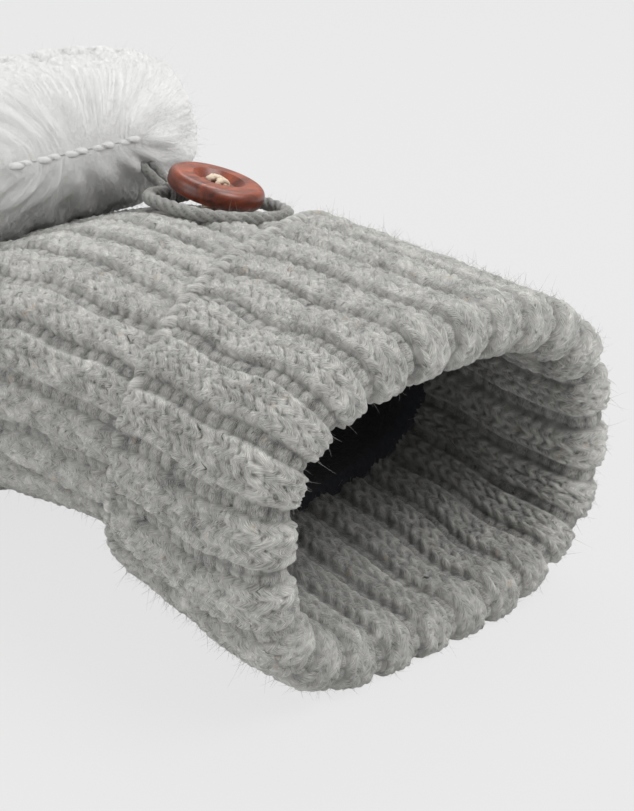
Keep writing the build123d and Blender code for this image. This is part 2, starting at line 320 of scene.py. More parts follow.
def spun_wool(name, dark, light, nep, fleck, streak=1.0, neps=0.70, sheen=0.35):
    """Carded and spun wool yarn: streaks along the strand, neps, flecks and haze, with painted shade from the
    depth layer.
    """
    material, tree, out = new_material(name)
    yarn = add(tree, "ShaderNodeUVMap", {"uv_map": "yarn"})
    place_xyz = add(tree, "ShaderNodeTexCoord")
    # streaks: 0.25 mm across the strand and about 3 mm along it
    stretch = add(tree, "ShaderNodeMapping", {"Scale": (5.5, 0.9, 1.0)}, {"Vector": yarn.outputs["UV"]})
    streaks = add(tree, "ShaderNodeTexNoise", {"Scale": 1.3, "Detail": 5.0, "Roughness": 0.65},
                  {"Vector": stretch.outputs["Vector"]})
    # marl: whole strands lighter or darker, a few stitches at a time
    marl = add(tree, "ShaderNodeTexNoise", {"Scale": 260.0, "Detail": 3.0, "Roughness": 0.6},
               {"Vector": place_xyz.outputs["Object"]})
    both = add(tree, "ShaderNodeMix", {"data_type": "FLOAT", "Factor": 0.35},
               {"A": streaks.outputs["Fac"], "B": marl.outputs["Fac"]})
    ramp = add(tree, "ShaderNodeValToRGB", None, {"Fac": both.outputs["Result"]})
    ramp.color_ramp.elements[0].position = 0.5 - 0.17 * streak
    ramp.color_ramp.elements[0].color = srgb(dark)
    ramp.color_ramp.elements[1].position = 0.5 + 0.17 * streak
    ramp.color_ramp.elements[1].color = srgb(light)
    # neps: dark tangles about 1 mm across, pulled along the strand
    long = add(tree, "ShaderNodeMapping", {"Scale": (0.9, 0.35, 1.0)}, {"Vector": yarn.outputs["UV"]})
    spots = add(tree, "ShaderNodeTexNoise", {"Scale": 1.0, "Detail": 2.0}, {"Vector": long.outputs["Vector"]})
    mask = add(tree, "ShaderNodeMapRange", {"From Min": neps, "From Max": neps + 0.10},
               {"Value": spots.outputs["Fac"]})
    shaded = add(tree, "ShaderNodeMix", {"data_type": "RGBA", "B": srgb(nep)},
                 {"Factor": mask.outputs["Result"], "A": ramp.outputs["Color"]})
    warm = add(tree, "ShaderNodeTexNoise", {"Scale": 330.0, "Detail": 1.0},
               {"Vector": place_xyz.outputs["Object"]})
    warm_mask = add(tree, "ShaderNodeMapRange", {"From Min": 0.70, "From Max": 0.80, "To Max": 0.45},
                    {"Value": warm.outputs["Fac"]})
    flecked = add(tree, "ShaderNodeMix", {"data_type": "RGBA", "B": srgb(fleck)},
                  {"Factor": warm_mask.outputs["Result"], "A": shaded.outputs["Result"]})
    # painted shade: the depth layer darkens the colour in the ditches between stitches
    depth = add(tree, "ShaderNodeAttribute", {"attribute_name": "depth"})
    floor_shade = add(tree, "ShaderNodeMapRange", {"From Max": 0.65, "To Min": 0.25, "To Max": 1.0},
                      {"Value": depth.outputs["Fac"]})
    final = add(tree, "ShaderNodeMix", {"data_type": "RGBA", "blend_type": "MULTIPLY", "Factor": 1.0},
                {"A": flecked.outputs["Result"], "B": floor_shade.outputs["Result"]})
    fibre = add(tree, "ShaderNodeBump", {"Strength": 0.8, "Distance": 0.0004},
                {"Height": streaks.outputs["Fac"]})
    shader = add(tree, "ShaderNodeBsdfPrincipled",
                 {"Roughness": 0.92, "Specular IOR Level": 0.2, "Sheen Weight": sheen,
                  "Sheen Roughness": 0.6},
                 {"Base Color": final.outputs["Result"], "Normal": fibre.outputs["Normal"]})
    tree.links.new(shader.outputs["BSDF"], out.inputs["Surface"])
    return material


ragg_wool = spun_wool("ragg_wool_carded_and_spun", "#575755", "#dad9d3", "#2e2d2c", "#b9a285",
                      streak=0.85, neps=0.67)
pale_wool = spun_wool("pale_wool_brushed_knit", "#d0d0cf", "#eeeeec", "#bfbfbf", "#e0dcd5",
                      streak=1.3, neps=0.78, sheen=0.5)

# %% [markdown]
# ## The turned-back cuff
# The cuff is knitted on from the wrist and then folded out over itself, so
# its ribs run down the outside, roll over the thick rim and go on inside.  It
# is one sheet: out from the cast-on edge, round the rim, in to the hand.  The
# sheet is cut at the crest of the rim only to keep each mesh small.

# %% cuff
WALL, CUFF_OUT, RIM = 3.6, 4.4, 4.0
FOLD, SKEW, SLANT = 54.4, math.tan(math.radians(23.0)), math.tan(math.radians(10.0))
EDGE_Z = 36.6


def table_rest(points, soften=0.35):
    """Presses what would pass under the table onto it: below h = 4*soften, z -> h*e^(z/h - 1)."""
    z = points[..., 2]
    reach = 4 * soften
    pressed = reach * np.exp(np.clip(z / reach - 1, -20, 0))
    points[..., 2] = np.where(z < reach, pressed, z)
    return points


def cast_on_x(u):
    """Distance of the askew cast-on edge at share u, by three rounds of reading."""
    x = np.full_like(u, FOLD)
    for _ in range(3):
        point, normal = hand_point(x, u, CUFF_OUT)
        x = FOLD - SKEW * point[..., 1] - SLANT * (point[..., 2] - EDGE_Z)
    return x


def outside_sheet(u, v_rows):
    """Rows from the crest of the rim (0) over the rolled edge to the cast-on edge (1)."""
    quarter = RIM * np.pi / 2
    reach = cast_on_x(u) - RIM
    run = v_rows * (quarter + reach)
    turn = np.clip(run / quarter, 0, 1) * np.pi / 2
    x = RIM * (1 - np.cos(turn)) + np.clip(run - quarter, 0, None)
    sink = RIM * (1 - np.sin(turn))
    point, normal = hand_point(x, u, CUFF_OUT)
    point = point - normal * sink[..., None]
    facing = normal * np.sin(turn)[..., None]
    facing[..., 0] = -np.cos(turn)
    return point, facing, run


def inside_sheet(u, v_rows, length):
    """Rows from the crest of the rim (0) round to the inside, length mm deep (1)."""
    quarter = RIM * np.pi / 2
    run = v_rows * (quarter + length)
    turn = np.clip(run / quarter, 0, 1) * np.pi / 2
    x = RIM * (1 - np.cos(turn)) + np.clip(run - quarter, 0, None)
    sink = RIM * (1 + np.sin(turn))
    point, normal = hand_point(x, u, CUFF_OUT)
    point = point - normal * sink[..., None]
    facing = -normal * np.sin(turn)[..., None]
    facing[..., 0] = -np.cos(turn)
    return point, facing, run


COLS = RIBS * 18
ROWS_OUT, ROWS_IN, WRIST_DEEP = 205, 190, 48.0
PROUD = 0.3           # how far the knit stands off the smooth shape
BEHIND_RIM = np.array([2.5, 0.0, 0.0])
u_line = (np.arange(COLS) / COLS)[None, :]
v_line = np.linspace(0, 1, ROWS_OUT)[:, None]
u_grid, v_grid = np.broadcast_arrays(u_line, v_line)
point, cuff_facing, run = outside_sheet(u_grid.copy(), v_grid)
height, yarn, shade = rib_relief(u_grid, run)
soft_end = np.clip((1 - v_grid) * 14, 0, 1) ** 0.5
outside = table_rest(point + cuff_facing * (height * soft_end + PROUD)[..., None])
back_end = point[-1:] - cuff_facing[-1:] * WALL
back_start = point[:1] + BEHIND_RIM
# one more row laps just under the other sheet, so that both share their slope at the crest
UNDER_LAP = 0.03
one_row = np.full_like(u_line, 1 / (ROWS_IN - 1))
lap_point, lap_facing, lap_run = inside_sheet(u_line.copy(), one_row, WRIST_DEEP)
lap_height = rib_relief(u_line, -lap_run)[0]
lap_in = table_rest(lap_point + lap_facing * (lap_height + PROUD - UNDER_LAP)[..., None], 0.2)
lap_out = outside[1:2] - cuff_facing[1:2] * UNDER_LAP
cuff = grid_mesh("turned_back_cuff_knit", np.concatenate([outside, back_end, back_start, lap_in], 0),
                 ring_v=True,
                 uv=np.concatenate([yarn, yarn[-1:], yarn[-1:], yarn[:1]], 0),
                 shade=np.concatenate([shade, shade[-1:], shade[-1:], shade[:1]], 0))
place(cuff, ragg_wool, "hand", "ragg_wool", "turned_cuff")

# %% [markdown]
# The inside of the wrist is the same sheet going on past the rim.  The eye
# sees it grow dark with depth.  Part of that is painted shade in the wool's
# colour, darker the deeper it lies, so that the mouth stays dark in a bright
# room as well.

# %% the inside of the wrist
v_in = np.linspace(0, 1, ROWS_IN)[:, None]
u_in, v_in = np.broadcast_arrays(u_line, v_in)
point_in, facing_in, run_in = inside_sheet(u_in.copy(), v_in, WRIST_DEEP)
height_in, yarn_in, shade_in = rib_relief(u_in, -run_in)
# painted shade: the colour inside the wrist darkens with depth, to a tenth at 46 mm
shade_in = shade_in * np.interp(run_in, [0, 8, 26, 46], [1.0, 0.85, 0.4, 0.1])
inside = table_rest(point_in + facing_in * (height_in + PROUD)[..., None], 0.2)
inside[0] = outside[0]
deep_end = point_in[-1:] - facing_in[-1:] * 3.0
rows_in = np.concatenate([inside, deep_end, point_in[:1] + BEHIND_RIM, lap_out], 0)
yarn_rows = np.concatenate([yarn_in, yarn_in[-1:], yarn_in[-1:], yarn_in[:1]], 0)
shade_rows = np.concatenate([shade_in, shade_in[-1:], shade_in[-1:], shade_in[:1]], 0)
# the rows run the other way here, so they are turned round to face outward
wrist = grid_mesh("wrist_rib_knit", rows_in[::-1].copy(), ring_v=True,
                  uv=yarn_rows[::-1].copy(), shade=shade_rows[::-1].copy())
place(wrist, ragg_wool, "hand", "ragg_wool", "wrist_rib")

# %% [markdown]
# ## Cords and chains
# The cast-on edge, the seams, the bind-offs and the loop are all yarn that
# runs along a line.  Each is a tube carried along a path, with a radius that
# swells once per stitch and turns round the tube as the plies do.

# %% a chain of stitches along a path


def frames_along(path, closed):
    """Unit tangent, and two normals from cross products with a fixed hint direction."""
    ahead = np.roll(path, -1, 0) - np.roll(path, 1, 0)
    if not closed:
        ahead[0] = path[1] - path[0]
        ahead[-1] = path[-1] - path[-2]
    tangent = ahead / np.linalg.norm(ahead, axis=1, keepdims=True)
    hint = np.array([0.31, 0.17, 0.93])
    side = np.cross(tangent, hint)
    side = side / np.linalg.norm(side, axis=1, keepdims=True)
    return tangent, side, np.cross(side, tangent)


def resample(path, step, closed):
    """Points at even distances along a polyline, and those distances."""
    line = np.vstack([path, path[:1]]) if closed else path
    walked = np.concatenate([[0], np.cumsum(np.linalg.norm(np.diff(line, axis=0), axis=1))])
    count = max(8, int(walked[-1] / step))
    at = np.linspace(0, walked[-1], count + 1)
    if closed:
        at = at[:-1]
    return np.stack([np.interp(at, walked, line[:, k]) for k in range(3)], -1), at


def chain_mesh(name, path, radius, stitch, closed, swell=0.3, plies=2, step=0.35, sides=14):
    """Tube along the path, r(s, t) = radius*(1 - w + 1.6*w*|cos(plies*t/2 + pi*s/stitch)|^0.7)
    with w the swell, s the distance along it and t the angle round it."""
    line, at = resample(np.asarray(path, float), step, closed)
    if closed:
        stitch = at[-1] / max(1, round(at[-1] / stitch))
    tangent, side, rise = frames_along(line, closed)
    t = np.arange(sides) / sides * 2 * np.pi
    turn = t[None, :] * plies / 2 + np.pi * at[:, None] / stitch
    r = radius * (1 - swell + 1.6 * swell * np.abs(np.cos(turn)) ** 0.7)
    if not closed:
        taper = np.clip(np.minimum(at, at[-1] - at) / radius, 0.02, 1) ** 0.5
        r = r * taper[:, None]
    ring = side[:, None] * np.cos(t)[None, :, None] + rise[:, None] * np.sin(t)[None, :, None]
    points = line[:, None] + ring * r[..., None]
    yarn = np.stack([turn * 1.2, np.broadcast_to(at[:, None], turn.shape)], -1)
    # painted shade: darker between the plies, where they turn under
    shade = np.abs(np.cos(turn)) ** 0.6
    return grid_mesh(name, points, ring_u=True, ring_v=closed, uv=yarn, shade=shade)


# %% [markdown]
# The cast-on edge is a chain of small knots where the cuff began.  It lies
# half sunk in the wool and wanders a little, as a hand-cast edge does.

# %% the cast-on edge
u_path = np.arange(720) / 720
edge_path, edge_normal = hand_point(cast_on_x(u_path[None, :])[0], u_path, CUFF_OUT - 0.3)
edge_path = edge_path + edge_normal * 0.5 * drift(u_path, 40.0, 6)[:, None]
edge = chain_mesh("cast_on_edge_chain", edge_path, 1.55, 3.1, True, swell=0.30, plies=1, sides=18)
place(edge, ragg_wool, "hand", "ragg_wool", "cuff_edge")

# %% [markdown]
# ## The hand
# Past the cuff the same ribs run on over the back and the palm.  They fade a
# little towards the fingers, where the fabric is stretched more.

# %% hand
# the button has pressed and felted the ribs under it
BUTTON_X, BUTTON_Y, PRESSED = 84.0, -19.0, 12.5
TUCK = 4.0


def hand_sheet(name, start, stop, rows, tuck=False):
    """Ribs on the hand from start to stop, with a smooth face 3.4 mm behind them.  With tuck the
    last 4 mm turn in along a quarter circle."""
    v = np.linspace(start, stop, rows)[:, None]
    u, x = np.broadcast_arrays((np.arange(RIBS * 14) / (RIBS * 14))[None, :], v)
    point, normal = hand_point(x, u)
    relief, yarn, shade = rib_relief(u, x + 20.0)
    fade = np.interp(x, [0, 110, 158], [1.0, 1.0, 0.7])
    off_button = np.hypot(point[..., 0] - BUTTON_X, point[..., 1] - BUTTON_Y)
    under = np.exp(-((off_button / PRESSED) ** 4)) * (point[..., 2] > 40)
    relief = relief * (1 - under) - 0.5 * under
    sink = np.zeros_like(x)
    if tuck:
        past = np.clip((x - (stop - TUCK)) / TUCK, 0, 0.999)
        sink = TUCK * (1 - np.sqrt(1 - past ** 2))
    face = point + normal * (relief * fade + 0.2 - sink)[..., None]
    back = point[::-(rows - 1)] - normal[::-(rows - 1)] * 3.4
    grid = np.concatenate([table_rest(face), back], 0)
    piece = grid_mesh(name, grid, ring_v=True,
                      uv=np.concatenate([yarn, yarn[-1:], yarn[:1]], 0),
                      shade=np.concatenate([shade, shade[-1:], shade[:1]], 0))
    place(piece, ragg_wool, "hand", "ragg_wool", "hand_shell")
    return face, normal


heel_face, heel_facing = hand_sheet("hand_rib_knit_heel", 30.0, 94.0, 195)
palm_face, palm_facing = hand_sheet("hand_rib_knit_palm", 94.0, 157.6, 195, tuck=True)
hand_face = np.concatenate([heel_face, palm_face], 0)
hand_facing = np.concatenate([heel_facing, palm_facing], 0)

# %% [markdown]
# A seam closes the hand along the little finger's side.  It is a chain of
# small overcast stitches, and share 0.5 round the hand is that side.

# %% side seam
seam_x = np.linspace(70, 154, 200)
seam_path, seam_normal = hand_point(seam_x, np.full(200, 0.5), PROUD)
seam = chain_mesh("side_seam_stitches", seam_path, 1.1, 2.6, False, swell=0.35, sides=10)
place(seam, ragg_wool, "hand", "ragg_wool", "side_seam")

# %% [markdown]
# ## The thumb
# The thumb is picked up round a hole and knitted as a narrow tube that closes
# at its tip, in plain stocking stitch: V's everywhere and no ditches.

# %% thumb
THUMB_ROOT = np.array([84.0, 18.0, 27.0])
THUMB_TIP = np.array([146.0, 72.0, 21.0])
thumb_way = THUMB_TIP - THUMB_ROOT
THUMB_LONG = float(np.linalg.norm(thumb_way))
thumb_way = thumb_way / THUMB_LONG
thumb_side = np.cross(thumb_way, [0, 0, 1.0])
thumb_side = thumb_side / np.linalg.norm(thumb_side)
thumb_rise = np.cross(thumb_side, thumb_way)
ROOT_R, MID_R, TIP_R = 14.5, 14.6, 11.5
THUMB_START, THUMB_RIBS = 14.0, 13


def thumb_point(s, u, offset=0.0):
    """Cone to s = L, then a ball: radius R*cos(q) at L + R*sin(q), with q from 0 to a right angle."""
    radius = np.interp(s, [0, 0.55 * THUMB_LONG, THUMB_LONG], [ROOT_R, MID_R, TIP_R])
    q = np.clip((s - THUMB_LONG) / TIP_R, 0, np.pi / 2)
    along = np.minimum(s, THUMB_LONG) + (TIP_R + offset) * np.sin(q)
    r = (radius + offset) * np.cos(q)
    t = 2 * np.pi * u
    way = thumb_side * np.cos(t)[..., None] + thumb_rise * np.sin(t)[..., None]
    normal = way * np.cos(q)[..., None] + thumb_way * np.sin(q)[..., None]
    return THUMB_ROOT + thumb_way * along[..., None] + way * r[..., None], normal


thumb_end = THUMB_LONG + TIP_R * np.pi / 2
v = np.linspace(THUMB_START, thumb_end, 230)[:, None]
thumb_cols = THUMB_RIBS * 14
u, s = np.broadcast_arrays((np.arange(thumb_cols) / thumb_cols)[None, :], v)
point, normal = thumb_point(s, u)
relief, yarn, shade = rib_relief(u, s, ribs=THUMB_RIBS, pitch=7.0, share=0.999, depth=0.15,
                                 stitch=0.9)
relief = relief * np.clip((thumb_end - s) / 6.0, 0, 1)
face = point + normal * (relief - 0.2)[..., None]
INNER_ROWS = 24
inner_s = np.linspace(thumb_end, THUMB_START, INNER_ROWS)[:, None]
inner_u, inner_s = np.broadcast_arrays(u[:1], inner_s)
inner = thumb_point(inner_s, inner_u, -3.0)[0]
thumb = grid_mesh("thumb_knit", np.concatenate([face, inner], 0), ring_v=True,
                  uv=np.concatenate([yarn, np.repeat(yarn[-1:], INNER_ROWS, 0)], 0),
                  shade=np.concatenate([shade, np.repeat(shade[-1:], INNER_ROWS, 0)], 0))
place(thumb, ragg_wool, "hand", "ragg_wool", "thumb_sheath")

# %% [markdown]
# Where the thumb's stitches are picked up there is a welt.  Its path is found
# by walking out along the thumb in many directions at once and keeping, in
# each, the first point that is outside the hand.

# %% the thumb's welt
WELT_COLS, WELT_PROUD = 240, 0.6
march = np.linspace(THUMB_START, 70, 400)[:, None]
mu, ms = np.broadcast_arrays((np.arange(WELT_COLS) / WELT_COLS)[None, :], march)
walk = thumb_point(ms, mu, WELT_PROUD)[0]
cz = np.interp(walk[..., 0], fine_x, CENTRE)
ha = np.interp(walk[..., 0], fine_x, HALF_A) + WELT_PROUD
hb = np.interp(walk[..., 0], fine_x, HALF_B) + WELT_PROUD
how_far_out = np.abs(walk[..., 1] / ha) ** SQUARE + np.abs((walk[..., 2] - cz) / hb) ** SQUARE
first = np.argmax(how_far_out > 1, 0)
root_ring = walk[first, np.arange(WELT_COLS)]
welt = chain_mesh("thumb_pick_up_seam", root_ring, 1.3, 3.0, True, swell=0.35, sides=12)
place(welt, ragg_wool, "hand", "ragg_wool", "thumb_seam")

# %% [markdown]
# ## Finger stubs
# Four short tubes let the fingertips out.  Each is knitted round, then bound
# off, and the bind-off is a chain that rolls over the edge.

# %% finger stubs
# each finger's centre y and half width, mm
STUBS = {"index": (29.15, 10.0), "middle": (8.35, 10.3), "ring": (-12.25, 9.8), "little": (-30.85, 8.3)}
STUB_Z, STUB_B, STUB_WALL, STUB_START, STUB_END = 17.5, 12.0, 2.8, 154.0, 179.0


def stub_point(run, u, half_a):
    """Outside to the end, a half circle over the edge, and back down the inside."""
    lip = STUB_WALL / 2
    out_end = STUB_END - lip
    out_run = out_end - STUB_START
    turn = np.clip((run - out_run) / lip, 0, np.pi)
    back = np.clip(run - out_run - np.pi * lip, 0, None)
    x = STUB_START + np.minimum(run, out_run) + lip * np.sin(turn) - back
    sink = lip * (1 - np.cos(turn))
    t = 2 * np.pi * u
    ny, nz = np.cos(t) * STUB_B, np.sin(t) * half_a
    size = np.hypot(ny, nz)
    ny, nz = ny / size, nz / size
    y = np.cos(t) * half_a - ny * sink
    z = np.sin(t) * STUB_B - nz * sink
    facing = np.stack([np.sin(turn), ny * np.cos(turn), nz * np.cos(turn)], -1)
    return np.stack([x, y, z], -1), facing


for finger, (centre_y, half_a) in STUBS.items():
    total = (STUB_END - STUB_START) * 2 + 2.0
    v = np.linspace(0, total, 150)[:, None]
    u, run = np.broadcast_arrays((np.arange(120) / 120)[None, :], v)
    point, facing = stub_point(run, u, half_a)
    relief, yarn, shade = rib_relief(u, run, ribs=10, pitch=6.6, share=0.999, depth=0.15, stitch=0.85)
    near_end = np.exp(-(((run - 24.0) / 2.0) ** 2))
    chain = 0.9 * np.abs(np.sin(np.pi * (u * 20 + 0.2 * run))) ** 0.6
    relief = relief * (1 - near_end) + near_end * chain
    knit = point + facing * relief[..., None] + [0, centre_y, STUB_Z]
    # painted shade from the rib, kept light on the bind-off chain
    stub = grid_mesh("finger_stub_knit_" + finger, knit, ring_v=True, uv=yarn,
                     shade=np.maximum(shade, near_end * 0.8))
    place(stub, ragg_wool, "hand", "ragg_wool", "finger_stub_" + finger, "stub_bind_offs")

# %% [markdown]
# ## The lining
# Inside the hand is a brushed fleece.  Its colour, almost black with a little
# blue, is painted shade that stands for the deep shadow inside the hand, which
# is why the mitten looks bottomless.

# %% fleece
# brushed polyester fleece: almost no shine, a short uneven nap and a faint sheen
fleece, tree, out = new_material("blue_black_brushed_fleece")
where = add(tree, "ShaderNodeTexCoord")
nap = add(tree, "ShaderNodeTexNoise", {"Scale": 900.0, "Detail": 4.0},
          {"Vector": where.outputs["Object"]})
# painted shade: the lining's near-black colour stands for the deep shadow inside the hand
tone = add(tree, "ShaderNodeValToRGB", None, {"Fac": nap.outputs["Fac"]})
tone.color_ramp.elements[0].color = srgb("#0c0d12")
tone.color_ramp.elements[1].color = srgb("#20222a")
rough = add(tree, "ShaderNodeBump", {"Strength": 0.6, "Distance": 0.0006},
            {"Height": nap.outputs["Fac"]})
cloth = add(tree, "ShaderNodeBsdfPrincipled",
            {"Roughness": 1.0, "Specular IOR Level": 0.1, "Sheen Weight": 0.15, "Sheen Roughness": 0.7},
            {"Base Color": tone.outputs["Color"], "Normal": rough.outputs["Normal"]})
tree.links.new(cloth.outputs["BSDF"], out.inputs["Surface"])

# %% lining
LINING_START, LINING_END, LINING_ROWS = 38.0, 154.0, 120
v = np.linspace(0, 1, LINING_ROWS)[:, None]
u, w = np.broadcast_arrays((np.arange(160) / 160)[None, :], v)
x = LINING_START + (LINING_END - LINING_START) * w
taper = np.interp(x, [LINING_START, LINING_START + 1.2, LINING_END], [0.2, 1.5, 1.0])
point, normal = hand_point(x, u, -3.9)
ripple = 0.5 * drift(u, x, 1)
face = point - normal * (2.0 * taper + ripple * 0.5)[..., None]
grid = np.concatenate([face, point[::-(LINING_ROWS - 1)]], 0)[::-1].copy()
lining = grid_mesh("fleece_hand_lining", grid, ring_v=True)
place(lining, fleece, "hand", "fleece", "hand_lining")

# %% [markdown]
# ## The flip cap
# The cap is a mitten's end: a tube knitted round, closed at the tip and open
# on a slant, and brushed until its stitches blur.  Folded back it lies on the
# hand upside down.  It is built along +x from its hinge line and then leaned
# onto the hand.

# %% cap
CAP_LONG, CAP_HALF, CAP_THICK, CAP_WALL, CAP_SQUARE = 60.5, 48.0, 36.0, 3.4, 3.2
CAP_LEAN = math.radians(19.5)
HINGE = np.array([155.0, 0.0, 38.9])
CAP_FULL, TIP_RISE = 22.0, 14.0
CAP_HEM, CAP_LIP = 1.7, 32.0
CAP_TIP_Z = TIP_RISE - CAP_WALL / 2
cap_around = spread_evenly(47.0, 18.0, CAP_SQUARE)


def cap_local(x, u, offset=0.0):
    """Superellipse sections.  With p from 0 at x = 22 to 1 at the tip, the width is
    (1 - 0.88 p^2.6)^0.5 and the depth (1 - p^3)^0.5, so the tip closes along a line."""
    p = np.clip((x - CAP_FULL) / (CAP_LONG - CAP_FULL), 0, 1)
    wide = (1 - 0.88 * p ** 2.6) ** 0.5
    deep = (1 - p ** 3.0) ** 0.5
    a = CAP_HALF * wide + offset
    b = np.maximum(CAP_THICK / 2 * deep + offset * deep, 0.02)
    y, z, unused_y, unused_z = squircle(cap_around(u), a, b, CAP_SQUARE)
    centre = CAP_THICK / 2 * deep - CAP_WALL / 2 + TIP_RISE * (1 - deep)
    return np.stack([x + 0 * y, y, centre + z], -1)


def grid_normals(points):
    """Unit cross product of the steps along u (which closes) and along v."""
    du = np.roll(points, -1, 1) - np.roll(points, 1, 1)
    dv = np.gradient(points, axis=0)
    normal = np.cross(du, dv)
    return normal / (np.linalg.norm(normal, axis=-1, keepdims=True) + 1e-9)


def lean_cap(p):
    """Turns the cap's own x, y, z onto the hand: x back and up, z off the hand."""
    x = HINGE[0] - p[..., 0] * math.cos(CAP_LEAN) + p[..., 2] * math.sin(CAP_LEAN)
    z = HINGE[2] + p[..., 0] * math.sin(CAP_LEAN) + p[..., 2] * math.cos(CAP_LEAN)
    return np.stack([x, p[..., 1], z], -1)


def mouth_x(u):
    """Where the slanting mouth crosses the surface: x = hem + lip/thickness * z."""
    x = np.full_like(u, 12.0)
    for _ in range(4):
        x = CAP_HEM + CAP_LIP / CAP_THICK * np.clip(cap_local(x, u)[..., 2], 0, None)
    return x



# %% the cap's knit
CAP_RIBS = 36
CAP_COLS = CAP_RIBS * 12
u_cap = (np.arange(CAP_COLS) / CAP_COLS)[None, :]
v_cap = np.linspace(0, 1, 150)[:, None]
u, w = np.broadcast_arrays(u_cap, v_cap)
start = mouth_x(u.copy())
x = start + (CAP_LONG - start) * np.sin(w * np.pi / 2)
point = cap_local(x, u)
facing = grid_normals(point)
relief, yarn, shade = rib_relief(u, x, ribs=CAP_RIBS, pitch=6.7, share=0.999, depth=0.2, stitch=0.8)
puffs = 0.9 * drift(u, x, 4) + 0.6 * np.sin(34 * np.pi * u + 2 * drift(u, x, 9)) * np.sin(0.4 * x)
# painted shade from the rib, kept weaker on the brushed cap
shade = 0.6 + 0.4 * shade
# the stitches blur towards the tip, and the last 2 mm are smooth for the closing seam
relief = relief * np.clip((58.0 - x) / 16.0, 0.1, 1) + puffs
relief = relief * np.clip((CAP_LONG - x) / 2.0, 0, 1)
face = point + facing * relief[..., None]
cap_face = lean_cap(face)
lean_way = lean_cap(facing) - lean_cap(np.zeros(3))
v_back = np.linspace(1, 0, 60)[:, None]
ub, wb = np.broadcast_arrays(u_cap, v_back)
xb = start[:1] + (CAP_LONG - 0.2 - start[:1]) * np.sin(wb * np.pi / 2)
relief_back, yarn_back, shade_back = rib_relief(ub, xb, ribs=CAP_RIBS, pitch=6.7, share=0.999,
                                                depth=0.1, stitch=0.6)
relief_back = relief_back * np.clip((56.0 - xb) / 8.0, 0, 1)
back = cap_local(xb, ub, -3.0)
back = back - grid_normals(back[::-1])[::-1] * relief_back[..., None]
grid = lean_cap(np.concatenate([face, back], 0))
# the shade layer here is painted shade, weaker on the cap's inside as well
cap = grid_mesh("flip_cap_knit", grid[::-1].copy(), ring_v=True,
                uv=np.concatenate([yarn, yarn_back], 0)[::-1].copy(),
                shade=np.concatenate([shade, 0.6 + 0.4 * shade_back], 0)[::-1].copy())
place(cap, pale_wool, "cap", "pale_wool", "cap_shell")

# %% [markdown]
# A band of rib keeps the cap's mouth from flaring.  It stands a little proud
# of the cap and thins out at the hinge, where it goes into the seam.

# %% the ribbed band at the cap's mouth
BAND_RIBS, BAND_ROWS, BAND_WIDE = 30, 60, 8.5
v_band = np.linspace(0, 1, BAND_ROWS)[:, None]
band_cols = BAND_RIBS * 14
u, w = np.broadcast_arrays((np.arange(band_cols) / band_cols)[None, :], v_band)
start = mouth_x(u.copy())
turn = np.clip(w / 0.25, 0, 1) * np.pi / 2
run = np.clip(w - 0.25, 0, None) / 0.75 * BAND_WIDE
x = start - 1.6 * np.sin(np.pi / 2 - turn) + run
lift = np.interp(cap_local(start, u)[..., 2], [0, 8], [0.1, 1.0])
point = cap_local(np.clip(x, -6, 60), u)
facing = grid_normals(cap_local(start + run + 0.01 * w, u))
relief, yarn, shade = rib_relief(u, x, ribs=BAND_RIBS, pitch=8.0, share=0.74, depth=0.9, stitch=0.7)
edge_down = np.clip((1 - w) * 8, 0, 1) ** 0.5
up_off = (relief + 1.1) * edge_down * lift - (1 - np.sin(turn)) * 1.9
face = point + facing * up_off[..., None]
both_ends = slice(None, None, -(BAND_ROWS - 1))
inner = cap_local(np.clip(x[both_ends], -6, 60), u[both_ends], -CAP_WALL)
grid = lean_cap(np.concatenate([face, inner], 0))
band = grid_mesh("flip_cap_band_knit", grid[::-1].copy(), ring_v=True,
                 uv=np.concatenate([yarn, yarn[-1:], yarn[:1]], 0)[::-1].copy(),
                 shade=np.concatenate([shade, shade[-1:], shade[:1]], 0)[::-1].copy())
place(band, pale_wool, "cap", "pale_wool", "cap_band")

# %% [markdown]
# Two seams finish the cap: one draws its tip shut, and a thicker one, whipped
# over and over, holds it to the back of the hand and is what it turns on.

# %% the cap's two seams
HINGE_HALF = 34.0
tip_y = np.linspace(-16.5, 16.5, 120)
tip_z = CAP_TIP_Z + 0 * tip_y
tip_line = lean_cap(np.stack([CAP_LONG - 0.4 + 0.4 * np.cos(tip_y * 0.9), tip_y, tip_z], -1))
tip = chain_mesh("cap_tip_closing_stitches", tip_line, 0.7, 3.4, False, swell=0.35, plies=1, sides=12)
place(tip, pale_wool, "cap", "pale_wool", "cap_shell")
line_y = np.linspace(-HINGE_HALF, HINGE_HALF, 300)
seam_line = np.stack([HINGE[0] + 0 * line_y, line_y, HINGE[2] + 0.15 * np.sin(line_y)], -1)
hinge = chain_mesh("cap_seam_whip_stitch", seam_line, 1.7, 3.2, False, swell=0.35, sides=14)
place(hinge, pale_wool, "cap", "pale_wool", "hinge_seam")

# %% [markdown]
# ## The loop and its button
# A plied wool cord comes from the cap's tip and goes round the button.  Four
# plies show as slanting swells, and wraps of finer yarn bind its ends.

